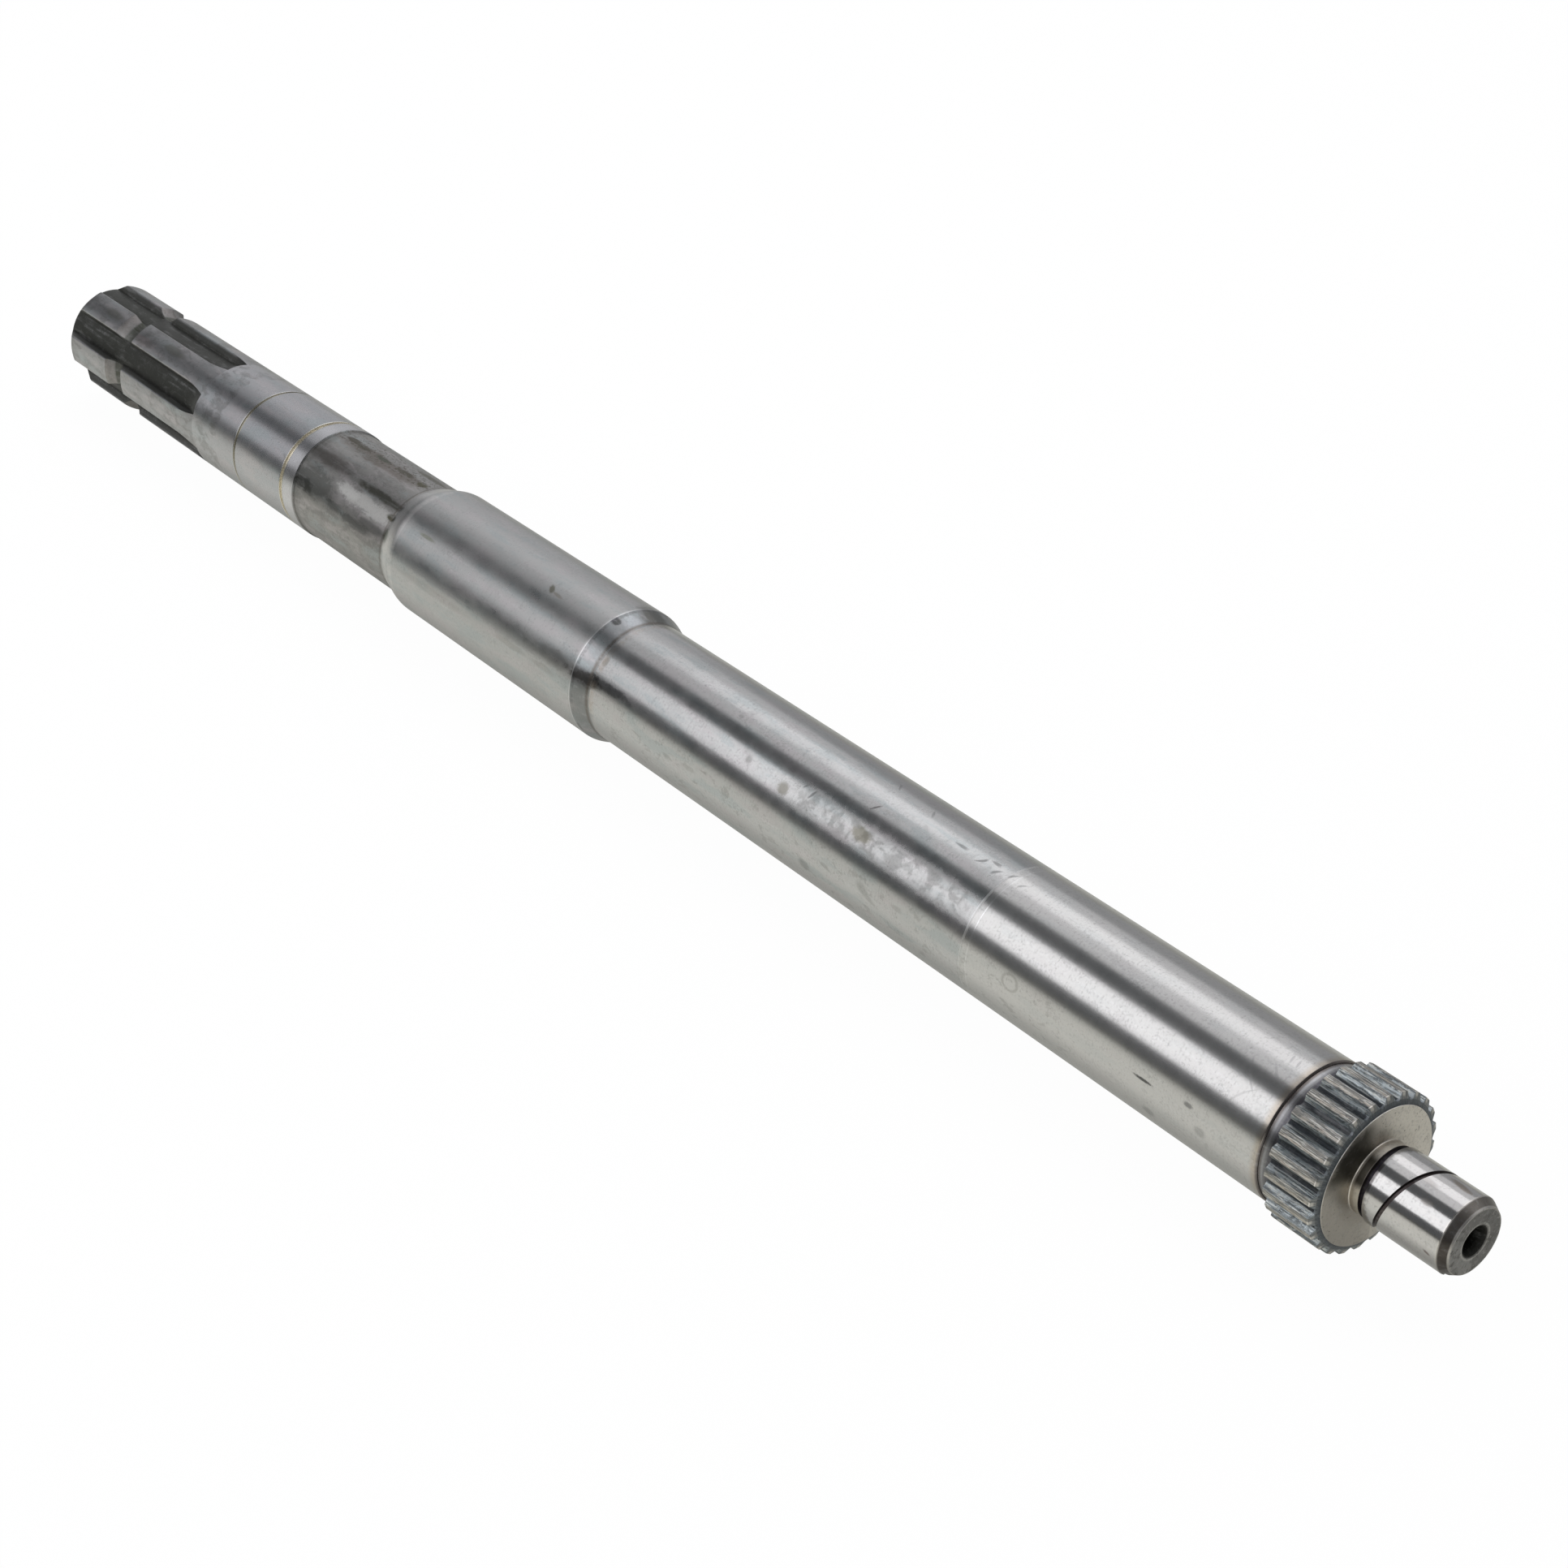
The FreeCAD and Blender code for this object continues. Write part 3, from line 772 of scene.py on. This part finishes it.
def paintRings(coat):
    stretch, arc = coat.stretch, coat.arc
    # the two ring grooves are painted pale, painted light that lifts their own shade
    for start, end, tint in ((113.7, 115.2, (0.45, 0.43, 0.37)), (141.7, 143.7, (0.80, 0.76, 0.66))):
        coat.paint(stretch(start, end) * coat.under(17.35, 0.06) * 0.90, tint)
    for start, end, soft, strength, tint in ringTints:
        coat.paint(stretch(start, end, soft) * strength, tint)
    coat.paint(stretch(295.9, 296.8, 0.3) * coat.above(coat.ragged, -0.1, 0.1) * 0.5, (0.10, 0.10, 0.10))
    coat.paint(stretch(301.9, 304.0, 1.0) * coat.above(coat.ragged, -0.15, 0.15) * 0.45, (0.33, 0.27, 0.22))
    # two bright lines on the body, with a painted highlight across turns 35 to 60
    for line in (446.95, 449.2):
        coat.paint(stretch(line - 0.16, line + 0.16) * (arc(35, 60) * 0.35 + 0.25), (0.62, 0.62, 0.62))
    coat.roughen(stretch(446.8, 447.5) * 0.1)
    coat.paint(stretch(538.3, 541.7) * arc(42, 135, 12) * 0.45, (0.07, 0.07, 0.075))


def paintSplines(coat):
    # spline gaps painted near black as shade, browned ball groove with painted shade over its far part, grey walls
    stretch, under, patch = coat.stretch, coat.under, coat.patch
    splines = stretch(-5, 103, 0.2)
    # the turn is folded to one gap, so that the gaps' painted shade stays where the ball groove crosses them
    pitch = 360 / splineEnd["count"]
    fold = ((coat.turn - splineEnd["turn"]) / pitch + 0.5).fraction() - 0.5
    gap = coat.below(fold.size() * pitch, 14.9, 15.9)
    coat.paint(splines * coat.above(patch + coat.cloud * 0.7, -0.06, 0.16) * 0.50, (0.12, 0.118, 0.112))
    coat.paint(stretch(-5, 6.5, 1.5) * 0.45, (0.11, 0.11, 0.10))
    # painted shade: the gaps near black, darker still below the root
    coat.paint(splines * under(17.3) * gap * 0.90, (0.055, 0.056, 0.05))
    coat.paint(splines * under(15.6, 0.5) * gap * (0.93 - patch), (0.042, 0.043, 0.038))
    inGroove = under(17.42, 0.05) * (1 - gap)
    coat.paint(stretch(28.8, 31.9, 0.6) * inGroove * 0.50, (0.22, 0.20, 0.18))
    # painted shade over the far part of the ball groove
    coat.paint(stretch(31.9, 40.1, 0.5) * inGroove * (0.80 - patch), (0.075, 0.078, 0.062))
    coat.roughen(splines * under(16.8, 0.4) * 0.15)


def paintTeeth(coat):
    # streaked tan crests with a bright lower edge, worn blue-grey sides with painted shade beside each crest, roots
    # painted near black as shade
    between = coat.steel.between
    lines, fine, cuts = coat.toothLines, coat.toothFine, coat.toothCuts
    teeth = coat.stretch(541.75, 555.45, 0.05)
    phase = ((coat.turn - toothEnd["turn"]) / (360 / toothEnd["count"]) + 0.5).fraction() - 0.5
    raggedPhase = phase + lines * 0.12 + cuts * 0.14
    coat.paint(teeth, (0.40, 0.44, 0.455))
    # across one tooth: from and to in shares of the pitch, softness, strength, colour
    # the last two bands are painted shade on the flanks beside each crest
    for start, end, soft, strength, tint in (
            (-0.19, 0.19, 0.03, 1.00, (0.23, 0.222, 0.205)), (0.03, 0.15, 0.03, 0.85, (0.44, 0.40, 0.345)),
            (0.18, 0.22, 0.02, 0.75, (0.05, 0.055, 0.06)), (-0.25, -0.20, 0.02, 0.60, (0.07, 0.08, 0.085))):
        coat.paint(teeth * between(raggedPhase, start, end, soft) * strength, tint)
    # dark and bright streaks: noise, low, high, strength, colour
    for streak, low, high, strength, tint in (
            (lines + cuts * 0.5, 0.03, 0.12, 0.75, (0.075, 0.085, 0.09)),
            (cuts * 0.7 - lines, 0.06, 0.16, 0.60, (0.56, 0.56, 0.53)),
            (fine + cuts * 0.3, 0.03, 0.09, 0.65, (0.08, 0.088, 0.09)),
            (cuts * 0.3 - fine, 0.05, 0.11, 0.60, (0.66, 0.66, 0.62))):
        coat.paint(teeth * coat.above(streak, low, high) * strength, tint)
    # painted shade: the roots near black
    coat.paint(teeth * coat.under(17.5, 0.15) * 0.95, (0.018, 0.021, 0.025))
    coat.roughen(teeth * (cuts * 0.4 + 0.12))
    # bevel by the turned face, and a painted highlight on the near corners of the crests
    coat.paint(coat.stretch(554.5, 555.3) * (0.50 + cuts * 1.6), (0.26, 0.285, 0.305))
    ends = coat.stretch(555.15, 555.62, 0.08) * coat.above(coat.radius, 16.35, 16.5)
    coat.paint(ends * (0.65 - cuts), (0.12, 0.135, 0.15))
    corners = coat.stretch(554.15, 554.75) * between(phase + cuts * 0.1, -0.02, 0.17, 0.03)
    coat.paint(corners * 0.70, (0.78, 0.75, 0.70))
    coat.toothHeight = teeth * (lines * 40.0 + fine * 25.0 + cuts * 45.0)


def paintFace(coat):
    arc, radius, ragged = coat.arc, coat.radius, coat.ragged
    face = coat.stretch(555.5, 555.7, 0.04)
    # painted shade, darker and browner towards the journal's foot
    coat.paint(face * coat.below(radius + ragged * 4, 9.2, 13.2, 0.60), (0.20, 0.175, 0.145))
    # the face is lighter at its right, with painted shade at its upper left and scattered pits
    coat.paint(face * arc(-130, -6, 18) * 0.55, (0.82, 0.785, 0.72))
    coat.paint(face * arc(75, 190, 40) * 0.55, (0.36, 0.335, 0.30))
    coat.paint(face * arc(16, 73, 9) * coat.below(radius + ragged * 4, 14.5, 17.5, 0.90), (0.045, 0.045, 0.035))
    coat.paint(face * coat.above(coat.facePits, 0.66, 0.70) * 0.5, (0.10, 0.09, 0.075))
    # relief ring: brown next to the face as a painted reflection of the face, pale further on as a painted highlight,
    # and darkened across turns 24 to 72 as a painted reflection of the face's dark upper left
    coat.paint(coat.stretch(555.9, 556.8, 0.5) * 0.35, (0.28, 0.20, 0.13))
    coat.paint(coat.stretch(557.0, 558.0, 0.3) * 0.50, (0.74, 0.70, 0.62))
    coat.paint(coat.stretch(556.3, 558.1, 0.3) * arc(24, 72, 7) * 0.90, (0.06, 0.052, 0.035))


def paintJournal(coat):
    stretch, arc, radius, above = coat.stretch, coat.arc, coat.radius, coat.above
    journal = stretch(559.3, 578.5, 0.05)
    # painted reflection of the face's dark upper left at the start of the journal
    coat.paint(stretch(559.3, 560.2, 0.2) * arc(26, 70, 8) * 0.75, (0.05, 0.04, 0.042))
    inOilGroove = journal * coat.under(8.93, 0.03)
    coat.paint(inOilGroove * 0.95, (0.045, 0.034, 0.034))
    coat.roughen(inOilGroove * 0.3)
    # bevel and its edges
    coat.paint(stretch(578.35, 578.8, 0.12) * 0.6, (0.50, 0.48, 0.45))
    coat.paint(stretch(580.45, 581.5) * above(radius, 7.25, 7.5) * 0.65, (0.52, 0.50, 0.47))
    bevel = stretch(578.9, 580.5)
    coat.paint(bevel * arc(-70, 36, 12) * 0.6, (0.20, 0.185, 0.165))
    coat.paint(bevel * arc(52, 110, 14) * 0.5, (0.045, 0.038, 0.035))
    # end face and centre hole
    endFace = stretch(580.8, 590, 0.02)
    coat.paint(endFace * arc(60, 200, 40) * 0.7, (0.33, 0.325, 0.32))
    mouth = stretch(565.0, 580.86, 0.02) * coat.under(4.05, 0.05)
    # painted shade: the centre hole is dark, near black deeper in
    coat.paint(mouth, (0.038, 0.038, 0.034))
    coat.roughen(mouth * 0.3)
    coat.paint(mouth * coat.under(3.1, 0.3) * 0.85, (0.012, 0.013, 0.01))
    rim = stretch(580.5, 590, 0.05) * coat.steel.between(radius, 3.75, 4.4, 0.15)
    coat.paint(rim * 0.6, (0.50, 0.49, 0.47))
    coat.paint(endFace * above(coat.ragged, 0.02, 0.18) * 0.50, (0.10, 0.097, 0.09))
    coat.paint(endFace * above(coat.endPits, 0.60, 0.68) * 0.6, (0.07, 0.066, 0.06))
    coat.paint(endFace * above(coat.endSpecks, 0.62, 0.70) * 0.5, (0.42, 0.41, 0.40))
    # the far end face, at the splines
    coat.paint(above(coat.station, 0.35, 0.05) * above(coat.ragged, -0.1, 0.25) * 0.5, (0.17, 0.165, 0.155))


def paintGrain(coat):
    grain, patch, streaks, rings = coat.grain, coat.patch, coat.streaks, coat.rings
    coat.paint(coat.above(grain + rings * 0.6, 0.0, 0.35) * 0.28, (0.16, 0.158, 0.15))
    coat.paint(coat.above(grain * 0.5 + patch + streaks * 0.4, 0.0, 0.25) * 0.16, (0.15, 0.152, 0.148))
    coat.paint(coat.above(patch * 0.5 + streaks * 0.8 - grain * 0.4, 0.02, 0.25) * 0.12, (0.62, 0.62, 0.63))
    coat.roughen(grain * 0.06 + rings * 0.05 + coat.wideRings * 0.04 + patch * 0.05)


def steelMaterial():
    steel = Recipe(bpy.data.materials.new("machinedSteel"))
    coat = Coat(steel)
    for paintStage in (paintFinish, paintWear, paintNeck, paintMarks, paintRings, paintSplines, paintTeeth,
                       paintFace, paintJournal, paintGrain):
        paintStage(coat)
    # the heights are in units of the bump's distance of 3.5 thousandths of a millimetre
    swell = coat.wave * (coat.stretch(-5, 300, 4) * 18.0 + coat.older * 5.0)
    turned = coat.rings * 0.9 + coat.wideRings * 1.2 + coat.streaks * 0.5 + coat.grain * 0.8
    bump = steel.node("ShaderNodeBump", inputs={
        "Strength": 1.0, "Distance": 0.0035 / perMetre, "Height": turned + swell + coat.toothHeight})
    shader = steel.node("ShaderNodeBsdfPrincipled", inputs={
        "Base Color": coat.colour, "Metallic": 1.0, "Roughness": coat.rough.top(0.10).low(0.75), "Normal": bump})
    steel.node("ShaderNodeOutputMaterial", inputs={"Surface": shader})
    return steel.owner


shaft.data.materials.clear()
shaft.data.materials.append(steelMaterial())
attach(shaft, "root")
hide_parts("pto_shaft")
print("steel made")


studio = {
    "floorSize": 30.0,
    "floorColour": (0.8, 0.8, 0.8),
    "floorWhite": 0.96,
    "roomColour": (0.145, 0.15, 0.158),
    "lampColour": (0.975, 0.975, 1.0),
    # turn from straight up towards the viewer's side, width in degrees, radiance, from x, to x
    "softboxes": {
        "frontNear": (52.0, 37.0, 1.85, -1.15, 0.8), "frontFar": (52.0, 37.0, 0.80, -3.2, -1.15),
        "topNear": (-28.0, 25.0, 1.65, -1.15, 0.8), "topFar": (-28.0, 25.0, 0.78, -3.2, -1.15),
        "topLeftNear": (-51.0, 22.0, 0.82, -1.15, 0.8), "topLeftFar": (-51.0, 22.0, 0.68, -3.2, -1.15),
        "topRightNear": (-4.0, 22.0, 0.95, -1.15, 0.8), "topRightFar": (-4.0, 22.0, 0.5, -3.2, -1.15),
        "backNear": (-76.0, 27.0, 0.33, -1.15, 0.8), "backFar": (-76.0, 27.0, 0.58, -3.2, -1.15),
    },
    "boxDistance": 1.2,
    "floorGap": 0.0002,
    # painted light and shadow of the mirrored floor: from and to this far from the axis, brightness at each
    "poolShade": (0.008, 0.034, 0.46, 1.06),
    "poolFront": (0.07, 0.36, 1.0, 0.12),
    "poolBack": (0.07, 0.3, 0.58, 0.42),
    "poolBlue": 0.94,
}


def floorMaterial():
    plain = Recipe(bpy.data.materials.new("paleFloor"))
    lit = plain.node("ShaderNodeBsdfDiffuse", inputs={"Color": (*studio["floorColour"], 1)})
    white = plain.node("ShaderNodeEmission", inputs={"Color": (1, 1, 1, 1), "Strength": 1.01})
    camera = plain.node("ShaderNodeLightPath", output=0)
    rays = plain.last.outputs
    mirrored = Wire(plain, rays["Is Glossy Ray"]).top(Wire(plain, rays["Is Transmission Ray"]))
    # mirrored in the steel, the floor shows a painted pool of white that falls away from the object, with painted
    # shadow under its front
    plain.node("ShaderNodeSeparateXYZ", inputs={0: plain.node("ShaderNodeTexCoord", output=3)})
    across = Wire(plain, plain.last.outputs[1])
    apart = across.size()
    back = plain.step(across, 0.0, 0.01)
    front = plain.step(apart, *studio["poolShade"]) * plain.step(apart, *studio["poolFront"])
    pool = front * (1 - back) + plain.step(apart, *studio["poolBack"]) * back
    grey = plain.node("ShaderNodeCombineXYZ", inputs={0: pool, 1: pool, 2: pool * studio["poolBlue"]})
    mirror = plain.node("ShaderNodeEmission", inputs={"Color": grey, "Strength": 1.0})
    shown = plain.node("ShaderNodeMixShader", inputs={0: camera * studio["floorWhite"], 1: lit, 2: white})
    shown = plain.node("ShaderNodeMixShader", inputs={0: mirrored, 1: shown, 2: mirror})
    plain.node("ShaderNodeOutputMaterial", inputs={"Surface": shown})
    return plain.owner


def makeStudio():
    deselectAll()
    level = cadLow.z - studio["floorGap"]
    bpy.ops.mesh.primitive_plane_add(size=studio["floorSize"], location=(0, 0, level))
    floor = bpy.context.object
    floor.name = "floor"
    floor.data.materials.append(floorMaterial())
    bpy.context.scene.world = bpy.data.worlds.new("room")
    room = Recipe(bpy.context.scene.world)
    grey = room.node("ShaderNodeBackground", inputs={"Color": (*studio["roomColour"], 1), "Strength": 1.0})
    white = room.node("ShaderNodeBackground", inputs={"Color": (1, 1, 1, 1), "Strength": 1.0})
    camera = room.node("ShaderNodeLightPath", output=0)
    seen = room.node("ShaderNodeMixShader", inputs={0: camera, 1: grey, 2: white})
    room.node("ShaderNodeOutputWorld", inputs={"Surface": seen})
    for name, (turn, width, radiance, fromX, toX) in studio["softboxes"].items():
        distance = studio["boxDistance"]
        across = 2 * distance * math.tan(math.radians(width / 2))
        angle = math.radians(turn)
        outward = Vector((0, -math.sin(angle), math.cos(angle)))
        light = bpy.data.lights.new(name, "AREA")
        light.shape = "RECTANGLE"
        light.size = toX - fromX
        light.size_y = across
        light.color = studio["lampColour"]
        light.energy = radiance * math.pi * light.size * across
        lamp = bpy.data.objects.new(name, light)
        bpy.context.scene.collection.objects.link(lamp)
        middle = outward * distance + Vector(((fromX + toX) / 2, 0, 0))
        lamp.matrix_world = Matrix.Translation(middle) @ Matrix((
            (1, 0, 0, 0), (0, outward.z, outward.y, 0), (0, -outward.y, outward.z, 0), (0, 0, 0, 1)))
    print("studio lit")


makeStudio()


viewer = {
    "location": (0.537651, -0.366657, 0.366174),
    "right": (0.61833087, 0.785918, 0.0),
    "up": (-0.41385341, 0.325604, 0.850122),
    "back": (0.66812595, -0.525657, 0.526586),
    "lens": 64.6,
}


def makeCamera():
    camera = bpy.data.cameras.new("camera")
    camera.lens = viewer["lens"]
    camera.sensor_width = 36
    camera.clip_start = 0.01
    camera.clip_end = 100
    holder = bpy.data.objects.new("camera", camera)
    bpy.context.scene.collection.objects.link(holder)
    right, up, back = (Vector(viewer[key]) for key in ("right", "up", "back"))
    turn = Matrix((right, up, back)).transposed().to_4x4()
    holder.matrix_world = Matrix.Translation(viewer["location"]) @ turn
    bpy.context.scene.camera = holder
    bpy.context.scene.view_settings.view_transform = "Standard"


makeCamera()
